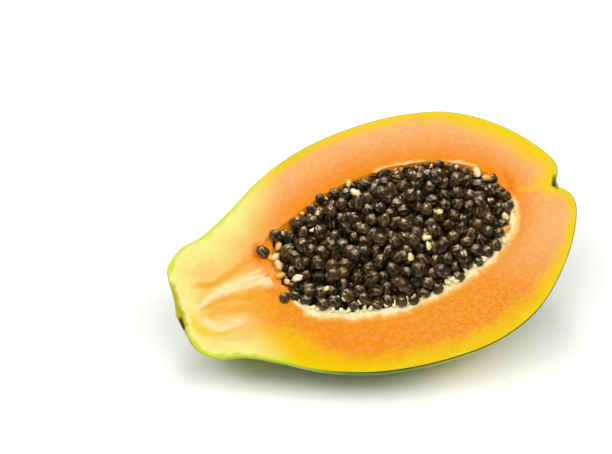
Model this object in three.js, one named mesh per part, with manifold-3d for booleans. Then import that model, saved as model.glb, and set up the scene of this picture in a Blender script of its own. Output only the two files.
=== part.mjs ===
// A ripe papaya cut in half lengthwise. It lies on its skin with the cut face turned up and to the front,
// and the bunch of dark seeds sits in the hollow of the flesh.
// Millimetres, +Z up, +X from the stem end to the blossom end. The origin is the middle of the flat spot
// that the half rests on.

import * as THREE from "three";
import { mergeVertices } from "three/addons/utils/BufferGeometryUtils.js";
import Module from "manifold-3d";

const wasm = await Module();
wasm.setup();

// The half in its own frame: x runs along the core from the stem end to the blossom end, y across the cut
// face, and z out of the cut face, which is the plane z = 0.

// Cut edge from the stem pole to the blossom pole, as [place along the core, distance from the core]
const BACK_EDGE = [
  [-92.6, 0], [-92.6, 9], [-91.8, 18.4], [-85, 24.6], [-74, 27.2], [-62, 32.8], [-45, 42], [-24, 48.4],
  [0, 50.4], [20, 48.7], [38, 43.5], [54, 32.7], [66, 18.8], [70.9, 8.4], [69.6, 3.6], [66, 0],
];
const FRONT_EDGE = [
  [-92.6, 0], [-92.8, 7.5], [-90.8, 16], [-85.2, 21.2], [-73.4, 25], [-62.6, 30.8], [-46, 40.7], [-25, 48.5],
  [3, 52.5], [24.2, 51.4], [42.6, 44.8], [57.8, 32.4], [68, 19.3], [72.2, 9.2], [70.6, 3.6], [66, 0],
];
const DEPTH_TO_WIDTH = 0.96;
const RIBS = 5;
const RIB_HEIGHT = 0.012;
const STEM_SWELL = 2;
const STEM_FADE = 10;
const BLOSSOM_SETBACK = 3;
const BLOSSOM_FADE = 8;
const SKIN_STATIONS = 46;
const SKIN_ANGLES = 28;

// The hollow for the seeds: an egg-shaped opening with a shallow bay at the stem end, and a bowl below it
const HOLLOW_CENTRE = [-3, 2.3];
const HOLLOW_HALF_LENGTH = 51;
const HOLLOW_HALF_WIDTH = 27.4;
const HOLLOW_DEPTH = 26;
const BAY_ANGLE = THREE.MathUtils.degToRad(165);
const BAY_SPREAD = 0.16;
const BAY_REACH = 0.1;
const RIM_POINTS = 64;
const BOWL_RINGS = [0.975, 0.92, 0.82, 0.65, 0.38];
const WALL_STEEPNESS = 8;

// Seeds stand on a core that stands for the seeds below them
const SEED_LENGTH = 6;
const SEED_WIDTH = 4.8;
const SEED_SIZE_SPREAD = 0.12;
const SEED_SPACING = 2.8;
const SEED_JITTER = 0.7;
const SEED_LIFT = 1;
const SEED_TILT = 0.6;
const SEED_RIM_GAP = 3.5;
const SEED_SIDES = 5;
const SEED_BANDS = 4;
const SEEDS_TRIED = 420;
const SEED_DRAW = 20117;
const HEAP_MIDDLE = 0.8;
const HEAP_RIM = -0.4;
const CORE_SINK = 0.4;
const CORE_GAP = 1.4;
const CORE_REACH = 0.93;
const CORE_RINGS = [0.35, 0.7];
const CORE_POINTS = 28;

// How the half lies: rolled to the front, with the blossom end a little higher, on a small flat spot
const ROLL = THREE.MathUtils.degToRad(25);
const PITCH = THREE.MathUtils.degToRad(8);
const FLAT_DEPTH = 2.5;

const FLESH = new THREE.MeshStandardMaterial({ color: 0xf79a35, roughness: 0.42, metalness: 0 });
const SEED_COAT = new THREE.MeshStandardMaterial({ color: 0x241a10, roughness: 0.25, metalness: 0 });

const TURN = 2 * Math.PI;
const GOLDEN_ANGLE = Math.PI * (3 - Math.sqrt(5));
const RANDOM_STEP = 16807;
const RANDOM_RANGE = 2147483647;

// Repeatable random numbers from 0 to 1
function randomFrom(seed) {
  let state = seed;
  return () => {
    state = (state * RANDOM_STEP) % RANDOM_RANGE;
    return state / RANDOM_RANGE;
  };
}

function edgeCurve(points) {
  return new THREE.CatmullRomCurve3(points.map(([along, out]) => new THREE.Vector3(along, out, 0)));
}

const backEdge = edgeCurve(BACK_EDGE);
const frontEdge = edgeCurve(FRONT_EDGE);

// Below the cut face the stem end swells out a little and the blossom end draws back
function endShift(share, angle) {
  const swell = STEM_SWELL * (1 - share) ** STEM_FADE;
  const setback = BLOSSOM_SETBACK * share ** BLOSSOM_FADE;
  return -Math.sin(angle) * (swell + setback);
}

// A point of the skin: share runs from the stem pole to the blossom pole, angle from the back edge to the front
function skinPoint(share, angle) {
  const back = backEdge.getPoint(share);
  const front = frontEdge.getPoint(share);
  const along = THREE.MathUtils.lerp(back.x, front.x, (1 - Math.cos(angle)) / 2) + endShift(share, angle);
  const radius = THREE.MathUtils.lerp(back.y, front.y, (1 - Math.cos(angle)) / 2);
  const ribbed = radius * (1 + RIB_HEIGHT * Math.sin(RIBS * angle));
  return new THREE.Vector3(along, ribbed * Math.cos(angle), -DEPTH_TO_WIDTH * ribbed * Math.sin(angle));
}

// The way up from the table, seen in the half's own frame, and the flat spot that it rests on
const turned = new THREE.Euler(ROLL, -PITCH, 0, "YXZ");
const tableUp = new THREE.Vector3(0, 0, 1).applyQuaternion(new THREE.Quaternion().setFromEuler(turned).invert());

function skinGrid() {
  const rows = [];
  for (let s = 1; s < SKIN_STATIONS; s++) {
    const row = [];
    for (let a = 0; a <= SKIN_ANGLES; a++) {
      row.push(skinPoint(s / SKIN_STATIONS, (Math.PI * a) / SKIN_ANGLES));
    }
    rows.push(row);
  }
  return rows;
}

const skin = skinGrid();
const lowest = skin.flat().reduce((low, p) => (p.dot(tableUp) < low.dot(tableUp) ? p : low)).clone();
const tableLevel = lowest.dot(tableUp) + FLAT_DEPTH;
lowest.addScaledVector(tableUp, FLAT_DEPTH);
for (const point of skin.flat()) {
  const under = tableLevel - point.dot(tableUp);
  if (under > 0) point.addScaledVector(tableUp, under);
}

// Distance from the hollow's middle to its rim, in a direction of the cut plane
function rimRadius(angle) {
  const oval = 1 / Math.hypot(Math.cos(angle) / HOLLOW_HALF_LENGTH, Math.sin(angle) / HOLLOW_HALF_WIDTH);
  const fromBay = Math.abs(Math.atan2(Math.sin(angle - BAY_ANGLE), Math.cos(angle - BAY_ANGLE)));
  return oval * (1 + BAY_REACH * Math.exp(-((fromBay / BAY_SPREAD) ** 2)));
}

function hollowPoint(angle, share, height) {
  const reach = rimRadius(angle) * share;
  return new THREE.Vector3(
    HOLLOW_CENTRE[0] + reach * Math.cos(angle),
    HOLLOW_CENTRE[1] + reach * Math.sin(angle),
    height,
  );
}

function hollowFloor(share) {
  return -HOLLOW_DEPTH * (1 - share ** WALL_STEEPNESS);
}

// Collects triangles whose corners are points, and closes them into one geometry
class Faces {
  corners = [];

  triangle(a, b, c) {
    this.corners.push(a, b, c);
  }

  quad(a, b, c, d) {
    this.triangle(a, b, c);
    this.triangle(a, c, d);
  }

  // Closed rings of points, each joined to the next, ending in a point
  bowl(rings, end) {
    for (let r = 0; r + 1 < rings.length; r++) {
      rings[r].forEach((point, i) => {
        const next = (i + 1) % rings[r].length;
        this.quad(point, rings[r][next], rings[r + 1][next], rings[r + 1][i]);
      });
    }
    const last = rings[rings.length - 1];
    last.forEach((point, i) => this.triangle(point, last[(i + 1) % last.length], end));
  }

  geometry() {
    return mergeVertices(new THREE.BufferGeometry().setFromPoints(this.corners));
  }
}

function hollowRing(points, share, height) {
  return Array.from({ length: points }, (_, i) => hollowPoint((TURN * i) / points, share, height));
}

// Skin, flat cut face and hollow in one closed body
function halfFruit() {
  const faces = new Faces();
  const stemPole = skinPoint(0, 0);
  const blossomPole = skinPoint(1, 0);
  for (let a = 0; a < SKIN_ANGLES; a++) {
    faces.triangle(stemPole, skin[0][a], skin[0][a + 1]);
    for (let s = 0; s + 1 < skin.length; s++) {
      faces.quad(skin[s][a], skin[s + 1][a], skin[s + 1][a + 1], skin[s][a + 1]);
    }
    const last = skin[skin.length - 1];
    faces.triangle(blossomPole, last[a + 1], last[a]);
  }
  const backRim = skin.map((row) => row[0]);
  const frontRim = skin.map((row) => row[SKIN_ANGLES]);
  const outline = [stemPole, ...frontRim, blossomPole, ...backRim.reverse()];
  const rim = hollowRing(RIM_POINTS, 1, 0);
  const corners = [...outline, ...rim];
  for (const [a, b, c] of THREE.ShapeUtils.triangulateShape(outline, [rim])) {
    faces.triangle(corners[a], corners[b], corners[c]);
  }
  const rings = BOWL_RINGS.map((share) => hollowRing(RIM_POINTS, share, hollowFloor(share)));
  faces.bowl([rim, ...rings], new THREE.Vector3(...HOLLOW_CENTRE, -HOLLOW_DEPTH));
  return faces.geometry();
}

function heapLevel(share) {
  return THREE.MathUtils.lerp(HEAP_MIDDLE, HEAP_RIM, share ** 2);
}

// The body of packed seeds under the ones that show, clear of the hollow's wall
function seedCore() {
  const faces = new Faces();
  const top = (share) => heapLevel(share) - CORE_SINK;
  const edge = hollowRing(CORE_POINTS, CORE_REACH, top(CORE_REACH));
  const inwards = CORE_RINGS.slice().reverse();
  const topRings = inwards.map((share) => hollowRing(CORE_POINTS, share, top(share)));
  const floorRings = inwards.map((share) => hollowRing(CORE_POINTS, share, hollowFloor(share) + CORE_GAP));
  const facingDown = [edge, ...floorRings].map((ring) => ring.slice().reverse());
  faces.bowl([edge, ...topRings], new THREE.Vector3(...HOLLOW_CENTRE, top(0)));
  faces.bowl(facingDown, new THREE.Vector3(...HOLLOW_CENTRE, CORE_GAP - HOLLOW_DEPTH));
  return faces.geometry();
}

// Seeds spread like a sunflower's over the hollow, each moved, lifted and turned a little by chance
function seedPlaces() {
  const random = randomFrom(SEED_DRAW);
  const spread = (amount) => amount * (2 * random() - 1);
  const rim = hollowRing(RIM_POINTS, 1, 0);
  const places = [];
  for (let i = 0; i < SEEDS_TRIED; i++) {
    const x = SEED_SPACING * Math.sqrt(i) * Math.cos(i * GOLDEN_ANGLE) + spread(SEED_JITTER);
    const y = SEED_SPACING * Math.sqrt(i) * Math.sin(i * GOLDEN_ANGLE) + spread(SEED_JITTER);
    const lift = spread(SEED_LIFT);
    const turn = new THREE.Euler(spread(SEED_TILT), spread(SEED_TILT), Math.PI * random(), "ZYX");
    const size = 1 + spread(SEED_SIZE_SPREAD);
    const share = Math.hypot(x, y) / rimRadius(Math.atan2(y, x));
    const centre = new THREE.Vector3(HOLLOW_CENTRE[0] + x, HOLLOW_CENTRE[1] + y, heapLevel(share) + lift);
    const toRim = Math.min(...rim.map((point) => Math.hypot(point.x - centre.x, point.y - centre.y)));
    if (share < 1 && toRim > SEED_RIM_GAP) places.push({ centre, turn, size });
  }
  return places;
}

function seedGeometry({ centre, turn, size }) {
  const seed = new THREE.SphereGeometry(size / 2, SEED_SIDES, SEED_BANDS);
  seed.rotateZ(Math.PI / 2);
  seed.scale(SEED_LENGTH, SEED_WIDTH, SEED_WIDTH);
  seed.applyQuaternion(new THREE.Quaternion().setFromEuler(turn));
  return seed.translate(centre.x, centre.y, centre.z);
}

function solidFrom(geometry) {
  geometry.deleteAttribute("normal");
  geometry.deleteAttribute("uv");
  const merged = mergeVertices(geometry);
  return new wasm.Manifold(
    new wasm.Mesh({
      numProp: 3,
      vertProperties: merged.attributes.position.array,
      triVerts: new Uint32Array(merged.index.array),
    }),
  );
}

function geometryFrom(solid) {
  const made = solid.getMesh();
  const geometry = new THREE.BufferGeometry();
  geometry.setAttribute("position", new THREE.BufferAttribute(made.vertProperties, made.numProp));
  geometry.setIndex(Array.from(made.triVerts));
  return geometry;
}

// Leaves only the outer skin of a fused bunch, so that the pockets shut in between its pieces are filled
function outerSkin(geometry) {
  const corners = geometry.index.array;
  const parent = Array.from({ length: geometry.attributes.position.count }, (_, i) => i);
  const root = (i) => (parent[i] === i ? i : (parent[i] = root(parent[i])));
  const trianglesOf = new Map();
  for (let t = 0; t < corners.length; t += 3) {
    parent[root(corners[t + 1])] = root(corners[t]);
    parent[root(corners[t + 2])] = root(corners[t]);
  }
  for (let t = 0; t < corners.length; t += 3) {
    const skinCorners = trianglesOf.get(root(corners[t])) ?? [];
    skinCorners.push(corners[t], corners[t + 1], corners[t + 2]);
    trianglesOf.set(root(corners[t]), skinCorners);
  }
  const skins = [...trianglesOf.values()].sort((a, b) => b.length - a.length);
  geometry.setIndex(skins[0]);
  return geometry;
}

function seedBunch() {
  const core = solidFrom(seedCore());
  const bunch = seedPlaces().reduce((joined, place) => joined.add(solidFrom(seedGeometry(place))), core);
  return outerSkin(geometryFrom(bunch));
}

function namedMesh(name, geometry, material) {
  geometry.computeVertexNormals();
  const mesh = new THREE.Mesh(geometry, material);
  mesh.name = name;
  return mesh;
}

// Laid on the table, with the lowest point of the skin over the origin
const lyingHalf = new THREE.Group();
lyingHalf.rotation.copy(turned);
lyingHalf.position.copy(lowest).applyEuler(turned).negate();
lyingHalf.add(namedMesh("half_fruit", halfFruit(), FLESH));
lyingHalf.add(namedMesh("seeds", seedBunch(), SEED_COAT));

const papayaHalf = new THREE.Group();
papayaHalf.add(lyingHalf);

export default papayaHalf;
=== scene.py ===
import math
import bpy
import numpy as np
from mathutils import Euler, Matrix, Vector, noise


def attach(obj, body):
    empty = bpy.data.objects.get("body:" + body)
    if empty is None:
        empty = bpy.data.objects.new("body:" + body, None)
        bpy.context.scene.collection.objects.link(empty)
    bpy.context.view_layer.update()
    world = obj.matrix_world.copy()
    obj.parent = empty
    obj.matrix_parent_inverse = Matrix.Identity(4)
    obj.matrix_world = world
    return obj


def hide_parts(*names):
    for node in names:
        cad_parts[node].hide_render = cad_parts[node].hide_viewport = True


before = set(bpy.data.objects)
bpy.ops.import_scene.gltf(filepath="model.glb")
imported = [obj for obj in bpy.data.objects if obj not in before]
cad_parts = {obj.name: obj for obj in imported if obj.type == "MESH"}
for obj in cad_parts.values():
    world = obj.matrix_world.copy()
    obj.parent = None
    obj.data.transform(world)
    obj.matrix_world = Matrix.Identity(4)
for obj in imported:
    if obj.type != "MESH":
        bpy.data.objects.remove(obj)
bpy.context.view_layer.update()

mm = 0.001
goldenAngle = math.pi * (3 - math.sqrt(5))
noiseDrift = (1.0, 1.7, 2.3)  # how a noise's shift goes along the three axes
rowsAtOnce = 2000  # keeps the tables of distances small

# The half is built in its own frame, in millimetres: x along the core from the stem end to the blossom end,
# y across the cut face to the back, z out of the cut face, which is the plane z = 0.
fruitForm = {
    # cut edge from the stem pole to the blossom pole: place along the core, distance from the core
    "backEdge": [
        (-92.6, 0), (-92.6, 9), (-91.8, 18.4), (-85, 24.6), (-74, 27.2), (-62, 32.8), (-45, 42), (-24, 48.4),
        (0, 50.4), (20, 48.7), (38, 43.5), (54, 32.7), (66, 18.8), (70.9, 8.4), (69.6, 3.6), (66, 0),
    ],
    "frontEdge": [
        (-92.6, 0), (-92.8, 7.5), (-90.8, 16), (-85.2, 21.2), (-73.4, 25), (-62.6, 30.8), (-46, 40.7),
        (-25, 48.5), (3, 52.5), (24.2, 51.4), (42.6, 44.8), (57.8, 32.4), (68, 19.3), (72.2, 9.2),
        (70.6, 3.6), (66, 0),
    ],
    "depthToWidth": 0.96,
    "ribs": 5,
    "ribHeight": 0.012,
    "stemSwell": 2,  # how far the stem end swells out below the cut face
    "stemFade": 10,
    "blossomSetback": 3,  # how far the blossom end draws back there
    "blossomFade": 8,
    "roll": math.radians(25),  # leans to the front
    "pitch": math.radians(8),  # blossom end a little higher
    "flatDepth": 2.5,  # how much of the skin the flat spot takes off
    "restStations": 46,  # the coarse grid whose lowest point stands over the origin
    "restAngles": 28,
}

hollowForm = {
    "centre": (-3, 2.3),
    "halfLength": 51,
    "halfWidth": 27.4,
    "depth": 26,
    "steepness": 8,  # of the wall under the rim
    "bayAngle": math.radians(165),  # shallow bay at the stem end
    "baySpread": 0.16,
    "bayReach": 0.1,
    "liningSide": math.radians(-86),  # direction in which the pale lining is thickest
    "liningFade": (0.1, 0.35),
    "wallSlope": (40, 0.9, 200),  # where the lining is thin: slope, where it drops off, how steeply
    "shelfAngle": math.radians(172),  # the bay has a shallow floor of its own
    "shelfSpread": (0.42, 0.21),
    "shelfSlope": (0.1, 24, 0.87, 240),  # depth at the rim, slope, where it drops off, how steeply
    "rimSamples": 2000,
}
middleX, middleY = hollowForm["centre"]


def smoothStep(values, low, high):
    share = np.clip((np.asarray(values, float) - low) / (high - low), 0, 1)
    return share * share * (3 - 2 * share)


def mixed(a, b, share):
    return a + (b - a) * share


def noiseAt(points, size, shift=0.0):  # soft noise from -1 to 1 with lumps of that size
    offset = Vector([share * shift for share in noiseDrift])
    return np.array([noise.noise(Vector(point) / size + offset) for point in points])


def layered(points, layers):  # noises added up, each with its height, size and shift
    return sum(height * noiseAt(points, size, shift) for height, size, shift in layers)


def curveThrough(points, shares):  # smooth centripetal curve, even in its control points
    points = np.asarray(points, float)
    ends = np.vstack([2 * points[0] - points[1], points, 2 * points[-1] - points[-2]])
    place = np.asarray(shares, float) * (len(points) - 1)
    segment = np.minimum(place.astype(int), len(points) - 2)
    t = (place - segment)[:, None]
    p0, p1, p2, p3 = (ends[segment + i] for i in range(4))
    d0, d1, d2 = (np.sqrt(np.linalg.norm(b - a, axis=1))[:, None] for a, b in ((p0, p1), (p1, p2), (p2, p3)))
    m1 = ((p1 - p0) / d0 - (p2 - p0) / (d0 + d1) + (p2 - p1) / d1) * d1
    m2 = ((p2 - p1) / d1 - (p3 - p1) / (d1 + d2) + (p3 - p2) / d2) * d1
    return p1 + m1 * t + (3 * (p2 - p1) - 2 * m1 - m2) * t**2 + (2 * (p1 - p2) + m1 + m2) * t**3


def endShift(shares, angles):  # the two ends below the cut face
    swell = fruitForm["stemSwell"] * (1 - shares) ** fruitForm["stemFade"]
    setback = fruitForm["blossomSetback"] * shares ** fruitForm["blossomFade"]
    return -np.sin(angles) * (swell + setback)


def skinPoints(shares, angles):  # rows from stem to blossom, columns from the back edge round to the front
    shares = np.asarray(shares, float)
    back = curveThrough(fruitForm["backEdge"], shares)[:, None, :]
    front = curveThrough(fruitForm["frontEdge"], shares)[:, None, :]
    angles = np.asarray(angles)[None, :]
    turn = ((1 - np.cos(angles)) / 2)[:, :, None]
    along, radius = np.moveaxis(mixed(back, front, turn), 2, 0)
    along = along + endShift(shares[:, None], angles)
    radius = radius * (1 + fruitForm["ribHeight"] * np.sin(fruitForm["ribs"] * angles))
    depth = -fruitForm["depthToWidth"] * radius * np.sin(angles)
    return np.stack([along, radius * np.cos(angles), depth], axis=2)


def restingPlace():  # turn of the half, the way up in its own frame, and where the table is
    turn = Matrix.Rotation(-fruitForm["pitch"], 3, "Y") @ Matrix.Rotation(fruitForm["roll"], 3, "X")
    up = np.array(turn.transposed() @ Vector((0, 0, 1)))
    stations, angles = fruitForm["restStations"], fruitForm["restAngles"]
    shares = np.arange(1, stations) / stations
    points = skinPoints(shares, np.arange(angles + 1) * math.pi / angles).reshape(-1, 3)
    lowest = points[np.argmin(points @ up)] + fruitForm["flatDepth"] * up
    return np.array(turn), up, lowest


turn, up, lowest = restingPlace()
tableLevel = lowest @ up


def toTable(points):  # from the half's own frame to the frame of the part, in metres
    return (np.asarray(points) - lowest) @ turn.T * mm


def flattened(points):  # the flat spot that the half rests on
    under = np.maximum(tableLevel - points @ up, 0)
    return points + under[..., None] * up


def rimRadius(angles):
    angles = np.asarray(angles)
    oval = 1 / np.hypot(np.cos(angles) / hollowForm["halfLength"], np.sin(angles) / hollowForm["halfWidth"])
    fromBay = np.angle(np.exp(1j * (angles - hollowForm["bayAngle"])))
    return oval * (1 + hollowForm["bayReach"] * np.exp(-((fromBay / hollowForm["baySpread"]) ** 2)))


def hollowPoints(angles, shares, heights):
    reach = rimRadius(angles) * shares
    x = middleX + reach * np.cos(angles)
    y = middleY + reach * np.sin(angles)
    return np.stack([x, y, np.broadcast_to(heights, x.shape)], axis=-1)


def hollowFloor(shares):
    return -hollowForm["depth"] * (1 - np.asarray(shares, float) ** hollowForm["steepness"])


def shelfShare(angles):  # 1 in the bay, 0 round the rest of the rim
    away = np.abs(np.angle(np.exp(1j * (np.asarray(angles) - hollowForm["shelfAngle"]))))
    return smoothStep(away, *hollowForm["shelfSpread"])


def shelfFloor(shares):
    depth, slope, end, drop = hollowForm["shelfSlope"]
    shares = np.asarray(shares, float)
    floor = -depth - slope * (1 - shares) - drop * np.maximum(end - shares, 0)
    return np.maximum(floor, hollowFloor(shares))


def bowlFloor(share, angles):
    floor = hollowFloor(share)
    slope, end, drop = hollowForm["wallSlope"]
    sloped = max(floor, -slope * (1 - share) - drop * max(end - share, 0))
    return mixed(mixed(sloped, floor, liningFullness(angles)), shelfFloor(share), shelfShare(angles))


def liningFullness(angles):  # 1 where the pale lining is thick, 0 where it is thin
    return smoothStep(np.cos(np.asarray(angles) - hollowForm["liningSide"]), *hollowForm["liningFade"])


def nearest(points, targets):  # distance to the nearest target, and which one it is
    distances = np.empty(len(points))
    which = np.empty(len(points), int)
    for start in range(0, len(points), rowsAtOnce):
        rows = slice(start, start + rowsAtOnce)
        gaps = np.linalg.norm(points[rows, None, :] - targets[None, :, :], axis=2)
        which[rows] = gaps.argmin(axis=1)
        distances[rows] = gaps.min(axis=1)
    return distances, which


def tint(red, green, blue):  # display colour, 0 to 255, to the shader's linear colour by the sRGB curve
    channels = [c / 255 for c in (red, green, blue)]
    linear = [c / 12.92 if c <= 0.04045 else ((c + 0.055) / 1.055) ** 2.4 for c in channels]
    return (*linear, 1.0)


# Small helpers for shader nodes
def attribute(tree, name, socket="Fac"):
    node = tree.nodes.new("ShaderNodeAttribute")
    node.attribute_name = name
    return node.outputs[socket]


def plug(tree, socket, value):  # a link where the value is a socket, else a plain value
    if isinstance(value, bpy.types.NodeSocket):
        tree.links.new(value, socket)
    else:
        socket.default_value = value


def setInputs(tree, node, values):
    for name, value in values.items():
        plug(tree, node.inputs[name], value)


def mapped(tree, value, low, high, toLow=0.0, toHigh=1.0):
    node = tree.nodes.new("ShaderNodeMapRange")
    node.interpolation_type = "SMOOTHSTEP"
    ends = {"From Min": low, "From Max": high, "To Min": toLow, "To Max": toHigh}
    setInputs(tree, node, {"Value": value, **ends})
    return node.outputs["Result"]


mixSockets = {"mask": 0, "a": 6, "b": 7, "result": 2}  # where the mix node keeps its colours


def blended(tree, mask, a, b, way="MIX"):
    node = tree.nodes.new("ShaderNodeMix")
    node.data_type = "RGBA"
    node.blend_type = way
    setInputs(tree, node, {mixSockets["mask"]: mask, mixSockets["a"]: a, mixSockets["b"]: b})
    return node.outputs[mixSockets["result"]]


def worked(tree, way, a, b):
    node = tree.nodes.new("ShaderNodeMath")
    node.operation = way
    setInputs(tree, node, {0: a, 1: b})
    return node.outputs[0]


def ramped(tree, value, stops):
    node = tree.nodes.new("ShaderNodeValToRGB")
    plug(tree, node.inputs["Fac"], value)
    ramp = node.color_ramp
    while len(ramp.elements) < len(stops):
        ramp.elements.new(0.5)
    for element, (position, colour) in zip(ramp.elements, stops):
        element.position = position
        element.color = colour
    return node.outputs["Color"]


def stretched(tree, vector, scale):
    node = tree.nodes.new("ShaderNodeVectorMath")
    node.operation = "MULTIPLY"
    setInputs(tree, node, {0: vector, 1: scale})
    return node.outputs["Vector"]


def noisy(tree, vector, scale, detail=2.0):
    node = tree.nodes.new("ShaderNodeTexNoise")
    setInputs(tree, node, {"Vector": vector, "Scale": scale, "Detail": detail})
    return node.outputs["Fac"]


def noiseMask(tree, vector, scale, detail, *span):
    return mapped(tree, noisy(tree, vector, scale, detail), *span)


def bumped(tree, height, strength, distance):
    node = tree.nodes.new("ShaderNodeBump")
    setInputs(tree, node, {"Strength": strength, "Distance": distance, "Height": height})
    return node.outputs["Normal"]


def newGroup(name, inputs, outputs):
    group = bpy.data.node_groups.new(name, "ShaderNodeTree")
    for socketName, kind, value in inputs:
        socket = group.interface.new_socket(socketName, in_out="INPUT", socket_type=kind)
        if value is not None:
            socket.default_value = value
    for socketName, kind in outputs:
        group.interface.new_socket(socketName, in_out="OUTPUT", socket_type=kind)
    return group, group.nodes.new("NodeGroupInput"), group.nodes.new("NodeGroupOutput")


def placed(tree, group, **values):
    node = tree.nodes.new("ShaderNodeGroup")
    node.node_tree = group
    setInputs(tree, node, {name.capitalize(): value for name, value in values.items()})
    return node.outputs


def newMaterial(name):
    material = bpy.data.materials.new(name)
    material.use_nodes = True
    return material, material.node_tree, material.node_tree.nodes["Principled BSDF"]


# Wet, fine-grained pulp: a height for bumps, a gloss that breaks up over the grain, and a mask of the
# grain's tops that carries the coat's gloss and the painted glint specks
moistForm = {
    "fineScale": 2.7,
    "fineDetail": 3.0,
    "shares": (0.6, 0.4),  # of the coarse and the fine lumps
    "roughness": (0.3, 0.7, 0.3, 0.55),
    "glintSpeck": (0.46, 0.64),
}


def moistGrainGroup():
    inputs = [("Vector", "NodeSocketVector", None), ("Scale", "NodeSocketFloat", 1.0)]
    outputs = [(name, "NodeSocketFloat") for name in ("Height", "Roughness", "Speck")]
    group, entry, result = newGroup("moistGrain", inputs, outputs)
    vector, scale = entry.outputs["Vector"], entry.outputs["Scale"]
    coarse = noisy(group, vector, scale)
    fineScale = worked(group, "MULTIPLY", scale, moistForm["fineScale"])
    fine = noisy(group, vector, fineScale, moistForm["fineDetail"])
    lumps = [worked(group, "MULTIPLY", *pair) for pair in zip((coarse, fine), moistForm["shares"])]
    height = worked(group, "ADD", *lumps)
    setInputs(group, result, {
        "Height": height,
        "Roughness": mapped(group, fine, *moistForm["roughness"]),
        "Speck": mapped(group, height, *moistForm["glintSpeck"]),
    })
    return group


# Slow change between two colours, as where a fruit ripens unevenly
ripeningForm = {"detail": 4.0, "edge": (0.34, 0.66)}


def ripeningGroup():
    inputs = [
        ("Vector", "NodeSocketVector", None), ("Scale", "NodeSocketFloat", 0.1),
        ("Unripe", "NodeSocketColor", (0, 1, 0, 1)), ("Ripe", "NodeSocketColor", (1, 1, 0, 1)),
    ]
    group, entry, result = newGroup("ripening", inputs, [("Color", "NodeSocketColor")])
    patches = noisy(group, entry.outputs["Vector"], entry.outputs["Scale"], ripeningForm["detail"])
    mask = mapped(group, patches, *ripeningForm["edge"])
    plug(group, result.inputs["Color"], blended(group, mask, entry.outputs["Unripe"], entry.outputs["Ripe"]))
    return group


moistGrain = moistGrainGroup()
ripening = ripeningGroup()

skinFinish = {
    "green": tint(96, 122, 10),
    "lime": tint(168, 184, 20),
    "yellow": tint(200, 198, 38),
    # lighter lime band along the cut edge: painted light on skin that the lamps leave in shade
    "paintedEdgeLight": tint(190, 206, 28),
    # dark olive line on the skin at the belly's cut edge: painted shade, as under the contact shadow
    "paintedEdgeShade": tint(66, 70, 8),
    "stemEnd": tint(182, 166, 34),
    "speckle": tint(84, 108, 14),
    "scar": tint(92, 70, 30),
    "scarDark": tint(46, 36, 20),
    "roughness": (0.34, 0.75),  # skin, scars
    "patchStretch": (0.35, 1.0, 1.0),
    "patchScale": 0.045,
    "dots": (0.9, 1.0, 0.66, 0.74, 0.0, 0.5),  # a noise: scale, detail, from where to where it is mapped
    "streakStretch": (0.06, 0.8, 0.8),
    "streaks": (0.5, 3.0, 0.55, 0.75, 0.0, 0.35),
    "bark": (1.3, 4.0),
    "pores": [(2.2, 2.0), (0.35, 2.0)],
    "bump": (0.12, 0.0004),
    "surface": {"Specular IOR Level": 0.1, "Coat Roughness": 0.25},
}


def skinMaterial():
    finish = skinFinish
    material, tree, shader = newMaterial("papaya skin")
    place = attribute(tree, "place", "Vector")
    drawn = stretched(tree, place, finish["patchStretch"])
    ends = {"unripe": finish["green"], "ripe": finish["lime"]}
    patches = placed(tree, ripening, vector=drawn, scale=finish["patchScale"], **ends)
    colour = blended(tree, attribute(tree, "paleSkin"), patches["Color"], finish["yellow"])
    colour = blended(tree, noiseMask(tree, place, *finish["dots"]), colour, finish["speckle"])
    streaks = noiseMask(tree, stretched(tree, place, finish["streakStretch"]), *finish["streaks"])
    colour = blended(tree, streaks, colour, finish["green"])
    # the first two colours laid over here are painted: a lighter lime band by the cut edge (painted light)
    # and a dark olive line on the belly's edge (painted shade); the last is the stem end's own colour
    for name in ("paintedEdgeLight", "paintedEdgeShade", "stemEnd"):
        colour = blended(tree, attribute(tree, name), colour, finish[name])
    bark = blended(tree, noisy(tree, place, *finish["bark"]), finish["scarDark"], finish["scar"])
    scar = attribute(tree, "scar")
    pores = worked(tree, "ADD", *(noisy(tree, place, *pore) for pore in finish["pores"]))
    setInputs(tree, shader, {
        "Base Color": blended(tree, scar, colour, bark),
        "Roughness": mapped(tree, scar, 0.0, 1.0, *finish["roughness"]),
        "Normal": bumped(tree, pores, *finish["bump"]),
        "Coat Weight": attribute(tree, "skinGloss"),
        **finish["surface"],
    })
    return material


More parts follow.
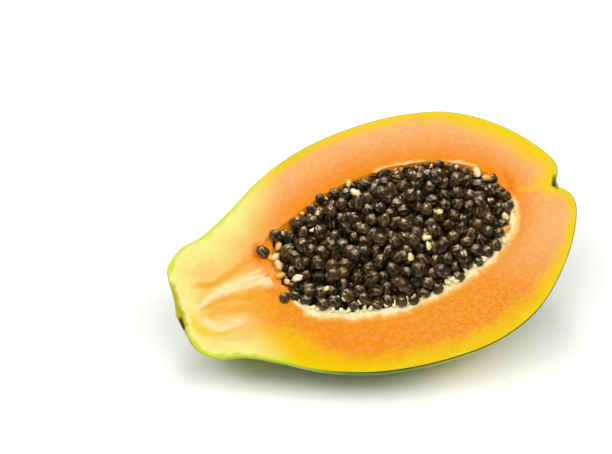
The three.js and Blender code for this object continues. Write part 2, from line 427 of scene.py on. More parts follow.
fleshFinish = {
    # colours from the skin inwards on the upper side, on the lower side and in the neck of the cut face
    "upper": [
        (0.0, tint(226, 220, 7)), (0.14, tint(246, 210, 10)), (0.45, tint(248, 199, 60)),
        (0.75, tint(246, 188, 98)), (1.0, tint(248, 180, 110)),
    ],
    "lower": [
        (0.0, tint(226, 220, 7)), (0.12, tint(246, 208, 7)), (0.45, tint(246, 193, 7)),
        (0.78, tint(245, 172, 12)), (1.0, tint(245, 146, 18)),
    ],
    "neck": [
        (0.0, tint(232, 236, 104)), (0.1, tint(250, 243, 146)), (0.45, tint(251, 234, 136)),
        (0.7, tint(248, 217, 124)), (1.0, tint(250, 205, 114)),
    ],
    "hollowSide": tint(247, 142, 6),
    "neckWarm": tint(245, 168, 8),
    "gold": tint(248, 206, 8),
    "fibre": tint(252, 238, 176),
    "pocket": tint(240, 112, 6),
    "stemStrip": tint(192, 180, 28),
    "lime": tint(210, 224, 56),
    # dark grey-brown marks in the blossom notch and at the stem end
    "darkMark": tint(74, 64, 36),
    # painted highlight: pale peach glints laid on the grain's tops
    "glintSpeck": tint(250, 190, 104),
    "mottle": tint(253, 196, 132),
    "lining": tint(252, 238, 186),
    "liningOuter": tint(250, 200, 100),
    "lightness": (0.77, 0.77, 0.77, 1.0),
    "waver": (0.16, 3.0, 0.25, 0.75, -0.14, 0.14),  # a noise, like the skin's dots
    "streakStretch": (0.22, 1.0, 1.0),
    "streaks": (0.4, 3.0),
    "streakRange": (0.3, 0.62),
    "hollowLeast": 0.88,  # what is left of a mask between the streaks
    "strandLeast": 0.6,
    "blotches": (0.5, 4.0, 0.42, 0.68),
    "ragged": (0.5, 2.0, 0.25, 0.75, -0.22, 0.22),  # the border of the lining
    "liningSpans": {"liningOuter": (1.75, 0.9), "lining": (1.2, 0.6)},
    "grain": 0.9,  # lumps per millimetre
    "bump": (0.35, 0.0005),
    "coatShare": 0.15,  # of the specks
    "surface": {
        "Specular IOR Level": 0.03,
        "Coat Roughness": 0.12,
        "Subsurface Weight": 0.15,
        "Subsurface Radius": (1.0, 0.45, 0.15),
        "Subsurface Scale": 0.0012,
    },
}


def fleshColour(tree, place, grain):
    finish = fleshFinish
    waver = noiseMask(tree, place, *finish["waver"])
    depth = worked(tree, "ADD", attribute(tree, "rindShare"), waver)
    sides = [ramped(tree, depth, finish[side]) for side in ("upper", "lower")]
    colour = blended(tree, attribute(tree, "lowerSide"), *sides)
    neckDepth = worked(tree, "ADD", attribute(tree, "neckDepth"), waver)
    colour = blended(tree, attribute(tree, "neck"), colour, ramped(tree, neckDepth, finish["neck"]))
    streaks = noisy(tree, stretched(tree, place, finish["streakStretch"]), *finish["streaks"])
    nearHollow = faded(tree, "hollowSide", streaks, finish["hollowLeast"])
    colour = blended(tree, nearHollow, colour, finish["hollowSide"])
    for name in ("neckWarm", "gold", "fibre", "pocket"):
        colour = blended(tree, faded(tree, name, streaks, finish["strandLeast"]), colour, finish[name])
    mottle = worked(tree, "MULTIPLY", noiseMask(tree, place, *finish["blotches"]), attribute(tree, "mottle"))
    colour = blended(tree, mottle, colour, finish["mottle"])
    # painted highlight: pale glint specks on the tops of the grain, most of them on the lower side
    paintedGlints = worked(tree, "MULTIPLY", grain["Speck"], attribute(tree, "speckle"))
    return blended(tree, paintedGlints, colour, finish["glintSpeck"])


def faded(tree, name, streaks, least):  # a mask that is weaker between the streaks
    strength = mapped(tree, streaks, *fleshFinish["streakRange"], least, 1.0)
    return worked(tree, "MULTIPLY", attribute(tree, name), strength)


def fleshMaterial():
    finish = fleshFinish
    material, tree, shader = newMaterial("papaya flesh")
    place = attribute(tree, "place", "Vector")
    grain = placed(tree, moistGrain, vector=attribute(tree, "grainPlace", "Vector"), scale=finish["grain"])
    colour = fleshColour(tree, place, grain)
    ragged = noiseMask(tree, place, *finish["ragged"])
    share = worked(tree, "ADD", attribute(tree, "liningShare"), ragged)
    for name, span in finish["liningSpans"].items():
        colour = blended(tree, mapped(tree, share, *span), colour, finish[name])
    for name in ("lime", "stemStrip", "darkMark"):
        colour = blended(tree, attribute(tree, name), colour, finish[name])
    setInputs(tree, shader, {
        "Base Color": blended(tree, 1.0, colour, finish["lightness"], "MULTIPLY"),
        "Roughness": grain["Roughness"],
        "Normal": bumped(tree, grain["Height"], *finish["bump"]),
        "Coat Weight": worked(tree, "MULTIPLY", grain["Speck"], finish["coatShare"]),
        **finish["surface"],
    })
    return material


pulpFinish = {
    "cream": tint(236, 222, 172),
    "yellow": tint(218, 192, 58),
    "amber": tint(232, 140, 16),
    "patchScale": 0.5,
    "grain": 1.6,
    "bump": (0.35, 0.0004),
    "surface": {"Subsurface Weight": 0.25, "Subsurface Radius": (1.0, 0.6, 0.3), "Subsurface Scale": 0.0012},
}


def pulpMaterial():
    finish = pulpFinish
    material, tree, shader = newMaterial("pale pulp")
    place = attribute(tree, "place", "Vector")
    grain = placed(tree, moistGrain, vector=place, scale=finish["grain"])
    ends = {"unripe": finish["cream"], "ripe": finish["yellow"]}
    patches = placed(tree, ripening, vector=place, scale=finish["patchScale"], **ends)
    colour = blended(tree, attribute(tree, "yellowness"), finish["cream"], patches["Color"])
    setInputs(tree, shader, {
        "Base Color": blended(tree, attribute(tree, "warmth"), colour, finish["amber"]),
        "Roughness": grain["Roughness"],
        "Normal": bumped(tree, grain["Height"], *finish["bump"]),
        **finish["surface"],
    })
    return material


seedFinish = {
    "body": [(0.0, tint(4, 2, 1)), (0.55, tint(18, 10, 4)), (1.0, tint(60, 42, 14))],  # dark, brown, olive
    # pale colour on the seeds' ridges: partly the coat's own paler wrinkles, partly painted highlight
    "paleRidgeAndSheen": tint(186, 156, 98),
    "wrinkleStretch": (0.8, 3.4, 3.4),
    "wrinkles": (1.0, 3.0),
    "streakRange": (0.5, 0.66, 0.0, 0.6),
    "bump": (0.7, 0.0009),
    "surface": {
        "Roughness": 0.36,
        "Specular IOR Level": 0.8,
        "Specular Tint": (1.0, 0.8, 0.54, 1.0),
        "Coat Weight": 0.4,
        "Coat Tint": (1.0, 0.9, 0.74, 1.0),
        "Coat Roughness": 0.08,
    },
}


def seedMaterial():
    finish = seedFinish
    material, tree, shader = newMaterial("wet seed coat")
    local = attribute(tree, "seedPlace", "Vector")
    body = ramped(tree, attribute(tree, "seedTone"), finish["body"])
    wrinkles = noisy(tree, stretched(tree, local, finish["wrinkleStretch"]), *finish["wrinkles"])
    # pale streaks over the ridges: the wrinkles' own paler colour together with a painted sheen on them
    streaks = mapped(tree, wrinkles, *finish["streakRange"])
    ridges = worked(tree, "MULTIPLY", streaks, attribute(tree, "wrinkle"))
    setInputs(tree, shader, {
        "Base Color": blended(tree, ridges, body, finish["paleRidgeAndSheen"]),
        "Normal": bumped(tree, wrinkles, *finish["bump"]),
        **finish["surface"],
    })
    return material


def newObject(name, data):
    made = bpy.data.objects.new(name, data)
    bpy.context.scene.collection.objects.link(made)
    return made


def newPiece(name, points, faces, attributes, materials, faceSlots=None):  # points in the half's own frame
    mesh = bpy.data.meshes.new(name)
    mesh.from_pydata(toTable(points).tolist(), [], faces)
    for key, values in {"place": points, **attributes}.items():
        values = np.asarray(values, np.float32)
        kind = "FLOAT_VECTOR" if values.ndim == 2 else "FLOAT"
        layer = mesh.attributes.new(key, kind, "POINT")
        layer.data.foreach_set("vector" if values.ndim == 2 else "value", values.ravel())
    for material in materials:
        mesh.materials.append(material)
    if faceSlots is not None:
        mesh.polygons.foreach_set("material_index", faceSlots)
    mesh.polygons.foreach_set("use_smooth", [True] * len(mesh.polygons))
    mesh.update()
    piece = newObject(name, mesh)
    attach(piece, "root")
    return piece


fruitMesh = {
    "stations": 340,
    "angles": 60,
    "faceRings": 72,
    "bowlShares": [0.985, 0.965, 0.94, 0.91, 0.87, 0.82, 0.75, 0.66, 0.55, 0.4, 0.2],
    "bowlLumps": [(0.35, 3.2, 4.4), (0.2, 1.4, 2.4)],  # height, size and shift of each noise
    "bevel": 0.3,  # rounding of the cut edge
    "sharpAngle": math.radians(50),
    "edgeCalm": (0.4, 2.0),  # the cut face is even along its edge
    "waviness": 0.2,  # of the knife's cut
    "waveNoise": (17, 1.3),
    "grainHeight": 0.1,
    "grainLumps": [(1.0, 1.9, 7.7), (0.6, 0.9, 2.9)],
    "strandHeights": {"fibre": 0.28, "neckWarm": -0.15, "pocket": -0.5},
    "skinLumps": 0.006,  # share of the radius
    "skinNoise": [(1.0, 26, 0.0), (0.4, 9, 3.1)],
    "rimRagged": (0.8, 1.4, 0.4),  # thin side, thick side, fine
    "rimNoise": [(4.0, 8.0), (1.8, 5.0)],  # coarse, fine
    "liningEdge": (1.1, 0.1),
    "liningSag": 0.3,  # how far the lining dips at the rim
    "liningLumps": 0.4,
    "liningNoise": (1.5, 3.3),
    "liningCool": 0.9,  # how much less warm the walls are under the lining
    "floorWarmth": 0.3,
    "scars": [((-93.6, -4.2, -0.8), 3.0), ((67.0, 1.6, -0.6), 3.2)],  # dry spots at the two ends
    "scarRagged": [(0.25, 1.6, 9.2)],
    "scarEdge": (1.1, 0.7),
    "scarLumps": 0.22,
    "scarNoise": (1.2, 6.6),
}
skinSlot, fleshSlot, pulpSlot = range(3)

# How the colours of the cut face are laid out, in millimetres
fleshLayout = {
    "lowerHeading": math.radians(-110),  # from the middle of the hollow
    "lowerFade": (-0.1, 0.5),
    "upperRind": (5.5, 11),  # width of the yellow under the skin: belly, neck
    "blossomRind": 12,  # by the notch
    "lowerRind": (9, 15),
    "upperNeck": (-34, -60),  # where the pale neck begins and is full
    "lowerNeck": (-54, -74),
    "neckReach": (20, 11),  # upper side, lower side
    "blossomAlong": (20, 60),
    "blossomAcross": (-8, 8),
    "hollowReach": (16, 5),
    "hollowShare": (1.0, 0.3),
    "neckCalm": 0.6,  # how much weaker the colour of the hollow's side is in the neck
    "mottle": (0.42, 0.2),  # upper side, lower side
    "mottleDepth": (0.35, 1.0),
    "hollowCalm": 0.85,  # how much weaker the mottle is by the hollow
    "liningWidth": 3.0,
    "liningLeast": 0.1,
    "bareSide": (0.3, 0.0),  # where the lining is too thin to show
    "bareShift": 3,
    # where the painted glint specks go
    "speckle": (0.1, 0.4),  # upper side, lower side
    "speckleSpan": (-45, 15),
    "grainHeading": math.radians(-20),
    "grainStretch": (0.55, 1.1, 1.0),
}

# Strands and patches of the cut face: line of points, half widths at its two ends, strength
strands = {
    "fibre": [
        ([(-84.7, 0), (-78.5, 2.3), (-72.2, 3.1), (-65.6, 3.6), (-59.2, 2.6), (-53, 0)], (1.1, 3.4), 1.0),
        ([(-67.8, 4.6), (-61.6, 5.6), (-56.5, 5.8)], (0.9, 1.4), 0.85),
        ([(-84.6, -5.6), (-82, -9), (-78, -10.9), (-70, -10.5)], (1.6, 2.2), 0.8),
        ([(-89.5, 3.5), (-85, 0)], (1.6, 1.4), 0.5),
        ([(0, 29.6), (9.8, 28.8), (20, 26.8)], (0.9, 1.3), 0.6),
        ([(28, 24.2), (35.2, 20.7), (39.4, 17.2)], (0.9, 1.4), 0.6),
        ([(48.8, 0.5), (48.4, -4.5), (46.2, -9.5), (42, -14)], (1.5, 1.7), 0.8),
    ],
    "neckWarm": [
        ([(-84.2, 8.9), (-77, 6.9), (-70.6, 8), (-63.2, 10.5), (-58.4, 12)], (1.2, 1.8), 0.9),
        ([(-84.3, -1.6), (-77.5, 0.1), (-70.4, -1.2), (-63.6, -3.2), (-57.9, -5)], (1.0, 3.0), 0.9),
        ([(-83.4, -3.6), (-73.3, -4.8), (-61.9, -8), (-54.7, -12)], (2.2, 5.0), 0.65),
    ],
    "gold": [
        ([(-87.8, -1.9), (-88.3, -7.2), (-83.6, -11.6), (-77, -14)], (1.5, 2.0), 0.85),
        ([(-64, -17), (-56, -22), (-48, -28)], (3.0, 5.0), 0.5),
        ([(67, 0.6), (60, 1.2), (52, 3.2)], (1.6, 1.2), 0.5),
    ],
    "pocket": [
        ([(-57.4, 10.8), (-56, 13.6), (-54.6, 16.4)], (1.7, 1.7), 0.9),
        ([(-57, 10.4), (-53.6, 9)], (1.6, 1.2), 0.9),
        ([(-56.2, 3.0), (-53.6, 3.0), (-50.6, 1.8)], (0.5, 1.6), 0.9),
        ([(49.5, 12), (50.5, 7.5), (50, 3)], (1.6, 1.6), 0.6),
    ],
    "lime": [
        ([(68.6, 11), (70.4, 7.6), (69.6, 4.6)], (1.3, 1.1), 0.6),
        ([(68.6, -2.2), (71, -4.4)], (1.0, 1.0), 0.8),
        ([(-92.6, -9), (-90.6, -15.6), (-87.5, -19.8), (-74, -25), (-61, -31.6)], (1.4, 1.5), 0.95),
        ([(-92.2, 16), (-85, 24.2), (-74, 26.8), (-62, 32.2), (-46, 41)], (1.0, 0.8), 0.7),
    ],
    "stemStrip": [
        ([(-92.2, 13), (-92.4, 5), (-92.5, 0), (-92.4, -7)], (1.3, 1.5), 1.0),
    ],
    # dark marks in the blossom notch and at the stem end
    "darkMark": [
        ([(68.4, 3.2), (66.6, 0.6), (67.4, -1.4)], (0.9, 0.7), 0.85),
        ([(-93, -1), (-92.9, -3.2), (-92.7, -6)], (0.5, 0.6), 0.7),
    ],
}

# How the ragged sides of the strands are made
strandForm = {
    "samples": 80,
    "drawn": (0.3, 1, 1),  # they run along the fruit
    "waver": [(0.5, 1.6, 4.2), (0.3, 0.7, 1.1)],
    "edge": (1.4, 0.3),
    "ends": (1.0, 0.8),
    "endShare": 0.5,
}


def strandMask(points, name):
    form = strandForm
    mask = np.zeros(len(points))
    shares = np.linspace(0, 1, form["samples"])
    waver = layered(points * form["drawn"], form["waver"])
    for line, widths, strength in strands[name]:
        distance, which = nearest(points[:, :2], curveThrough(line, shares))
        width = mixed(*widths, shares[which])
        inside = smoothStep(np.abs(2 * shares[which] - 1), *form["ends"])
        ends = mixed(form["endShare"], 1.0, inside)
        mask = np.maximum(mask, strength * ends * smoothStep(distance / width + waver, *form["edge"]))
    return mask


def scarMask(points):
    mask = np.zeros(len(points))
    for spot, radius in fruitMesh["scars"]:
        distance = np.linalg.norm(points - np.array(spot), axis=1)
        ragged = distance / radius + layered(points, fruitMesh["scarRagged"])
        mask = np.maximum(mask, smoothStep(ragged, *fruitMesh["scarEdge"]))
    return mask


def halfSkin():  # grid of the skin without its two poles, with lumps, scars and the flat spot
    form = fruitMesh
    shares = np.arange(1, form["stations"]) / form["stations"]
    angles = np.arange(form["angles"] + 1) * math.pi / form["angles"]
    grid = skinPoints(shares, angles)
    points = grid.reshape(-1, 3)
    fade = np.sin(np.tile(angles, len(shares)))
    lumps = form["skinLumps"] * fade * layered(points, form["skinNoise"])
    points[:, 0] += form["scarLumps"] * scarMask(points) * fade * noiseAt(points, *form["scarNoise"])
    points[:, 1:] *= (1 + lumps)[:, None]
    return flattened(points).reshape(grid.shape)


def ringFaces(outer, inner):  # quads between two closed rows of point numbers
    return list(zip(outer, np.roll(outer, -1), np.roll(inner, -1), inner))


def fruitShell():  # points and faces of the skin, and the numbers of the points along the cut edge
    skin = halfSkin()
    rows, columns = skin.shape[:2]
    number = np.arange(rows * columns).reshape(rows, columns)
    stemPole, blossomPole = rows * columns, rows * columns + 1
    points = np.vstack([skin.reshape(-1, 3), skinPoints([0, 1], [0])[:, 0]])
    edge = np.concatenate([[stemPole], number[:, -1], [blossomPole], number[::-1, 0]])
    points[edge, 2] -= fruitMesh["bevel"]  # the skin stops a little under the cut face
    faces = [(stemPole, a, b) for a, b in zip(number[0], number[0, 1:])]
    faces += [(blossomPole, b, a) for a, b in zip(number[-1], number[-1, 1:])]
    quads = np.stack([number[:-1, :-1], number[1:, :-1], number[1:, 1:], number[:-1, 1:]], axis=-1)
    faces += [tuple(quad) for quad in quads.reshape(-1, 4)]
    return points, faces, edge


def raggedRim(heading):
    rim = hollowPoints(heading, 1.0, 0.0)
    outwards = np.stack([np.cos(heading), np.sin(heading)], axis=1)
    thin, thick, fine = fruitMesh["rimRagged"]
    coarse = mixed(thin, thick, liningFullness(heading))
    coarseNoise, fineNoise = fruitMesh["rimNoise"]
    ragged = layered(rim, [(coarse, *coarseNoise), (fine, *fineNoise)])
    rim[:, :2] += ragged[:, None] * outwards
    return rim


def faceRings(edgePoints, rim):  # rows of points from the cut edge to the rim of the hollow
    reach = np.linalg.norm(rim - edgePoints, axis=1)
    outer = mixed(edgePoints, rim, (fruitMesh["bevel"] / reach)[:, None])
    shares = np.arange(fruitMesh["faceRings"] + 1) / fruitMesh["faceRings"]
    return np.stack([mixed(outer, rim, share) for share in shares])


def bowlRings(heading):
    floors = [bowlFloor(share, heading) for share in fruitMesh["bowlShares"]]
    rings = np.stack([hollowPoints(heading, *row) for row in zip(fruitMesh["bowlShares"], floors)])
    lumps = layered(rings.reshape(-1, 3), fruitMesh["bowlLumps"])
    rings[..., 2] += lumps.reshape(rings.shape[:2])
    return rings


def fleshMasks(face, edgePoints, rim, heading):  # the values that colour the cut face
    layout = fleshLayout
    along, across = face[:, 0], face[:, 1]
    toRind = nearest(face, edgePoints)[0]
    toRim, rimIndex = nearest(face, rim)
    fullness = liningFullness(heading)[rimIndex]
    fromMiddle = np.arctan2(across - middleY, along - middleX)
    lower = smoothStep(np.cos(fromMiddle - layout["lowerHeading"]), *layout["lowerFade"])
    upperNeck = smoothStep(along, *layout["upperNeck"])
    lowerNeck = smoothStep(along, *layout["lowerNeck"])
    neck = mixed(upperNeck, lowerNeck, lower)
    blossom = smoothStep(along, *layout["blossomAlong"]) * smoothStep(across, *layout["blossomAcross"])
    upperRind = mixed(mixed(*layout["upperRind"], upperNeck), layout["blossomRind"], blossom)
    rindShare = toRind / mixed(upperRind, mixed(*layout["lowerRind"], upperNeck), lower)
    nearHollow = smoothStep(toRim, mixed(*layout["hollowReach"], lower), 0.0)
    hollowShare = mixed(*layout["hollowShare"], lower) * (1 - layout["neckCalm"] * neck)
    mottle = mixed(*layout["mottle"], lower) * (1 - layout["hollowCalm"] * nearHollow)
    liningShare = toRim / layout["liningWidth"] / np.maximum(fullness, layout["liningLeast"])
    masks = {name: strandMask(face, name) for name in strands}
    masks.update({
        "toRind": toRind,
        "rindShare": rindShare,
        "lowerSide": lower,
        "neck": neck,
        "neckDepth": toRind / mixed(*layout["neckReach"], lower),
        "mottle": mottle * smoothStep(rindShare, *layout["mottleDepth"]) * (1 - neck),
        "hollowSide": nearHollow * hollowShare,
        "liningShare": liningShare + layout["bareShift"] * smoothStep(fullness, *layout["bareSide"]),
        # where the painted glint specks go
        "speckle": mixed(*layout["speckle"], lower) * smoothStep(along, *layout["speckleSpan"]),
    })
    return masks


def faceRelief(face, masks):  # small heights of the cut face
    form = fruitMesh
    calm = smoothStep(masks["toRind"], *form["edgeCalm"])
    lining = smoothStep(masks["liningShare"], *form["liningEdge"]) * calm
    waves = form["waviness"] * noiseAt(face, *form["waveNoise"])
    height = calm * (waves + form["grainHeight"] * layered(face, form["grainLumps"]))
    height += sum(share * masks[name] for name, share in form["strandHeights"].items())
    height -= lining * (form["liningSag"] - form["liningLumps"] * noiseAt(face, *form["liningNoise"]))
    return height


def grainPlaces(points):  # turned and stretched, so that the grain runs along the fruit
    cosine, sine = math.cos(fleshLayout["grainHeading"]), math.sin(fleshLayout["grainHeading"])
    along = points[:, 0] * cosine + points[:, 1] * sine
    across = points[:, 1] * cosine - points[:, 0] * sine
    return np.stack([along, across, points[:, 2]], axis=1) * fleshLayout["grainStretch"]


# How the colours and the gloss of the skin are laid out, in millimetres; noises as height, size, shift
skinLayout = {
    "pale": [(1.0, 34, 8.8)],
    "paleSpan": (-0.1, 0.5),
    # painted light: the skin is lighter lime near the cut edge and darker green further down, as if shaded
    "edge": [(1.5, 8, 2.2)],
    "edgeHeights": (-8, -1),
    "edgeNeck": (-38, -58),
    # painted shade: the dark line along the belly's cut edge
    "lineHeights": (-2.8, -0.8),
    "lineAlong": (-45, -25),
    "gloss": 0.3,
    "glossHeights": (-6, -16),
    "stem": [(0.8, 3, 5.5)],
    "stemAlong": (-89, -92),
    "yellow": [(0.6, 5, 6.1)],
    "yellowMiddle": 0.35,
}


def skinMasks(points):
    layout = skinLayout
    along, height = points[:, 0], points[:, 2]
    # painted light: a lighter band by the cut edge that fades with depth below it
    edge = smoothStep(height + layered(points, layout["edge"]), *layout["edgeHeights"])
    # painted shade: a dark line just under the cut edge, on the belly side only
    line = smoothStep(height, *layout["lineHeights"])
    return {
        "scar": scarMask(points),
        "paleSkin": smoothStep(layered(points, layout["pale"]), *layout["paleSpan"]),
        "paintedEdgeLight": edge * smoothStep(along, *layout["edgeNeck"]),
        "paintedEdgeShade": line * smoothStep(along, *layout["lineAlong"]),
        "skinGloss": layout["gloss"] * smoothStep(height, *layout["glossHeights"]),
        "stemEnd": smoothStep(along + layered(points, layout["stem"]), *layout["stemAlong"]),
        "yellowness": np.clip(layout["yellowMiddle"] + layered(points, layout["yellow"]), 0, 1),
    }


def fruitBody(materials):
    shell, faces, edge = fruitShell()
    edgePoints = shell[edge] * (1, 1, 0)
    middle = np.array([middleX, middleY, 0])
    heading = np.arctan2(*(edgePoints - middle)[:, 1::-1].T)
    rim = raggedRim(heading)
    rings, bowl = faceRings(edgePoints, rim), bowlRings(heading)
    face = rings.reshape(-1, 3)
    masks = fleshMasks(face, edgePoints, rim, heading)
    face[:, 2] += faceRelief(face, masks)
    points = np.vstack([shell, face, bowl.reshape(-1, 3), middle - (0, 0, hollowForm["depth"])])

    loops = len(shell) + np.arange(len(points) - len(shell) - 1).reshape(-1, len(edge))
    slots = [skinSlot] * (len(faces) + len(edge))
    for index, (outer, inner) in enumerate(zip([edge, *loops], loops)):
        faces += ringFaces(outer, inner)
        slots += [fleshSlot if index < len(rings) else pulpSlot] * (len(edge) if index else 0)
    faces += [(a, b, len(points) - 1) for a, b in zip(loops[-1], np.roll(loops[-1], -1))]
    slots += [pulpSlot] * len(edge)

    rest = len(points) - len(shell) - len(face)
    attributes = {name: np.pad(values, (len(shell), rest)) for name, values in masks.items()}
    thin = 1 - fruitMesh["liningCool"] * liningFullness(heading)
    walls = np.tile(thin, len(rings) + len(bowl))
    attributes["warmth"] = np.concatenate([np.zeros(len(shell)), walls, [fruitMesh["floorWarmth"]]])
    attributes["grainPlace"] = grainPlaces(points)
    piece = newPiece("fruit_half", points, faces, {**attributes, **skinMasks(points)}, materials, slots)
    piece.data.set_sharp_from_angle(angle=fruitMesh["sharpAngle"])
    return piece


pulp = pulpMaterial()
fruit = fruitBody([skinMaterial(), fleshMaterial(), pulp])
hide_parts("half_fruit")
print("fruit half built,", len(fruit.data.polygons), "faces")

seedForm = {
    "length": 6,
    "width": 4.8,
    "sizeSpread": 0.12,
    "spacing": 2.8,
    "jitter": 0.7,
    "lift": 1.0,
    "tilt": 0.6,
    "rimGap": 3.5,
    "rimPoints": 64,
    "tried": 420,
    "draw": 20117,
    "heapMiddle": 0.8,
    "heapRim": -0.4,
    "ridges": 7,
    "ridgeHeight": 0.075,
    "ridgeSway": 2.6,
    "lumpHeight": 0.1,
    "lumps": (0.62, 3.7, 0),  # size, and the noise's step from seed to seed and its start
    "wrinkleStep": 4.1,
    "taper": 0.12,
    "looseTilt": 1.0,
    "fineGrid": (14, 22),
    "plainGrid": (8, 12),
    "dips": [(15.6, -4.2), (28.5, 18), (42.9, -0.5), (-21, -8.3)],  # gaps in the heap
    "dipDepth": 1.4,
    "dipReach": (5.5, 1.5),
    "bayDepth": 4.5,
    "bayReach": (-43.5, -49),
}

# Seeds that fill the gaps: below the ones on top, along the rim, on top of others, and loose on the flesh
fillSeeds = {
    "under": {"count": 370, "gap": 2.0, "heights": (-4.4, -2.4), "reach": 0.97},
    "raised": {"count": 30, "gap": 7.0, "heights": (1.4, 2.2), "reach": 0.82},
    "rimStep": 1.2,
    "rimInset": (1.8, 1.0),  # thin side and thick side of the lining
    "rimSpread": (-1.0, 1.8),
    "rimHeights": (-1.2, -0.1),
    "rimSpan": 1.2,
    "rimSink": 0.6,
    "rimClear": 4.3,
    "rimSkip": 0.2,
    "rimShelf": 0.3,  # none further into the bay than this
    "rimSizes": (0.84, 1.0),
    "tries": 12,  # for each seed that is thrown
    "straySize": 0.95,
    "strays": [
        (-53.6, 12.8, 0.4), (-46.5, 17.6, 0.2), (-51.4, -7.7, -0.4), (46.4, 2.2, -0.2), (45.0, -2.0, -0.3),
        (43.5, 6.2, -0.1),
    ],
    "draw": 4711,
}

randomStep, randomRange = 16807, 2147483647


def randomFrom(seed):  # repeatable random numbers from 0 to 1
    state = seed

    def draw():
        nonlocal state
        state = (state * randomStep) % randomRange
        return state / randomRange

    return draw


def heapLevel(share):
    return mixed(seedForm["heapMiddle"], seedForm["heapRim"], share**2)


def shareOfHollow(x, y):  # x and y from the middle of the hollow
    return math.hypot(x, y) / float(rimRadius(math.atan2(y, x)))


def seedTurn(tiltX, tiltY, heading):
    return np.array(Euler((tiltX, tiltY, heading), "XYZ").to_matrix())


def topSeeds():  # spread like a sunflower's, each moved, lifted and turned a little by chance
    form = seedForm
    random = randomFrom(form["draw"])

    def spread(key):
        return form[key] * (2 * random() - 1)

    angles = np.arange(form["rimPoints"]) * 2 * math.pi / form["rimPoints"]
    rim = hollowPoints(angles, 1.0, 0.0)[:, :2]
    places = []
    for i in range(form["tried"]):
        x = form["spacing"] * math.sqrt(i) * math.cos(i * goldenAngle) + spread("jitter")
        y = form["spacing"] * math.sqrt(i) * math.sin(i * goldenAngle) + spread("jitter")
        lift = spread("lift")
        turned = seedTurn(spread("tilt"), spread("tilt"), math.pi * random())
        size = 1 + spread("sizeSpread")
        share = shareOfHollow(x, y)
        centre = np.array([middleX + x, middleY + y, heapLevel(share) + lift])
        if share < 1 and np.linalg.norm(rim - centre[:2], axis=1).min() > form["rimGap"]:
            places.append((centre - (0, 0, dipAt(centre)), turned, size))
    return places


def dipAt(centre):  # how far the heap is lower there, in its gaps and in the bay
    distance = np.linalg.norm(np.array(seedForm["dips"]) - centre[:2], axis=1).min()
    bay = seedForm["bayDepth"] * smoothStep(centre[0], *seedForm["bayReach"])
    return float(bay + seedForm["dipDepth"] * smoothStep(distance, *seedForm["dipReach"]))


def looseTurn(random):
    tilt = seedForm["looseTilt"]
    return seedTurn(*random.uniform(-tilt, tilt, 2), random.uniform(0, math.pi))


def isClear(centre, places, gap):
    return all(np.linalg.norm(centre - other[0]) > gap for other in places)


def scatteredSeeds(random, layer):  # thrown at random, kept apart from each other
    places = []
    for attempt in range(layer["count"] * fillSeeds["tries"]):
        angle = random.uniform(0, 2 * math.pi)
        out = layer["reach"] * math.sqrt(random.uniform(0, 1))
        height = heapLevel(out) + random.uniform(*layer["heights"])
        centre = hollowPoints(np.array(angle), out, height)
        turned = looseTurn(random)
        size = 1 + seedForm["sizeSpread"] * random.uniform(-1, 1)
        if len(places) < layer["count"] and isClear(centre, places, layer["gap"]):
            places.append((centre - (0, 0, dipAt(centre)), turned, size))
    return places


def rimAngles(step):  # directions that are even steps apart along the rim
    angles = np.linspace(-math.pi, math.pi, hollowForm["rimSamples"])
    steps = np.linalg.norm(np.diff(hollowPoints(angles, 1.0, 0.0), axis=0), axis=1)
    run = np.append(0, np.cumsum(steps))
    return np.interp(np.arange(0, run[-1], step), run, angles)


def rimSeeds(random, places):  # a row along the rim, wherever there is room
    fill = fillSeeds
    row = []
    for angle in rimAngles(fill["rimStep"]):
        fullness = liningFullness(angle)
        inset = mixed(*fill["rimInset"], fullness) + random.uniform(*fill["rimSpread"])
        share = 1 - inset / float(rimRadius(angle))
        height = mixed(*fill["rimHeights"], fullness) + random.uniform(0, fill["rimSpan"]) - fill["rimSink"]
        centre = hollowPoints(np.array(angle), share, height)
        turned = looseTurn(random)
        skipped = random.uniform(0, 1) < fill["rimSkip"] or shelfShare(angle) > fill["rimShelf"]
        if not skipped and isClear(centre, places + row, fill["rimClear"]):
            row.append((centre, turned, random.uniform(*fill["rimSizes"])))
    return row


def ballGrid(rings, sides):  # unit ball with its poles on x: points, faces, and the angle round x
    tilts = np.arange(1, rings) * math.pi / rings
    turns = np.arange(sides) * 2 * math.pi / sides
    tilt, angle = (grid.ravel() for grid in np.meshgrid(tilts, turns, indexing="ij"))
    body = np.stack([np.cos(tilt), np.sin(tilt) * np.cos(angle), np.sin(tilt) * np.sin(angle)], axis=1)
    points = np.vstack([body, (1, 0, 0), (-1, 0, 0)])
    loops = np.arange((rings - 1) * sides).reshape(rings - 1, sides)
    faces = [face for outer, inner in zip(loops, loops[1:]) for face in ringFaces(inner, outer)]
    tip, tail = len(body), len(body) + 1
    faces += [(a, b, tip) for a, b in zip(loops[0], np.roll(loops[0], -1))]
    faces += [(b, a, tail) for a, b in zip(loops[-1], np.roll(loops[-1], -1))]
    return points, faces, np.append(angle, (0, 0))


def gathered(shapes):  # many small shapes as one set of points, faces and attributes
    points, faces, attributes = [], [], {}
    count = 0
    for shapePoints, shapeFaces, values in shapes:
        points.append(shapePoints)
        faces += [tuple(int(count + corner) for corner in face) for face in shapeFaces]
        for name, value in values.items():
            whole = value if np.ndim(value) else np.full(len(shapePoints), value)
            attributes.setdefault(name, []).append(whole)
        count += len(shapePoints)
    return np.vstack(points), faces, {name: np.concatenate(parts) for name, parts in attributes.items()}


def lumpNoise(ball, form, index):  # differs from one small shape to the next
    size, step, start = form["lumps"]
    return noiseAt(ball, size, step * index + start)


